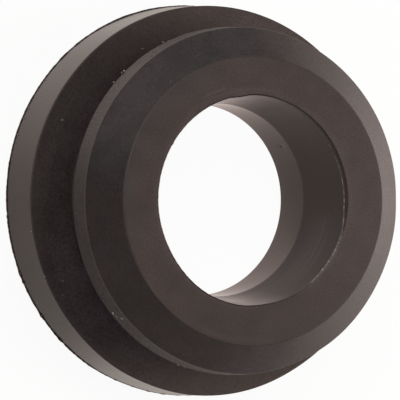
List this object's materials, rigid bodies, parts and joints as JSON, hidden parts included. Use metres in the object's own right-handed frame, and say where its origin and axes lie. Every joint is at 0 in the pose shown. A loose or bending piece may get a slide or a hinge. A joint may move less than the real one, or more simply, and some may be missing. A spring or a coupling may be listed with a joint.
{
  "type": "valve seal",
  "caption": "Round black rubber push-in seal with a flat flange, a panel groove, a tapered snap lip and a stepped bore that grips a valve barrel.",
  "frame": {"origin": "centre of the flange's flat back face, on the bore's axis", "axes": "+Z along the bore from the flange to the nose; X and Y are free, because the ring is round"},
  "size_m": [0.0334, 0.0334, 0.0137],
  "materials": {
    "rubber": "satin moulded black rubber"
  },
  "bodies": {
    "root": {"valve_seal": "rubber"}
  },
  "joints": []
}
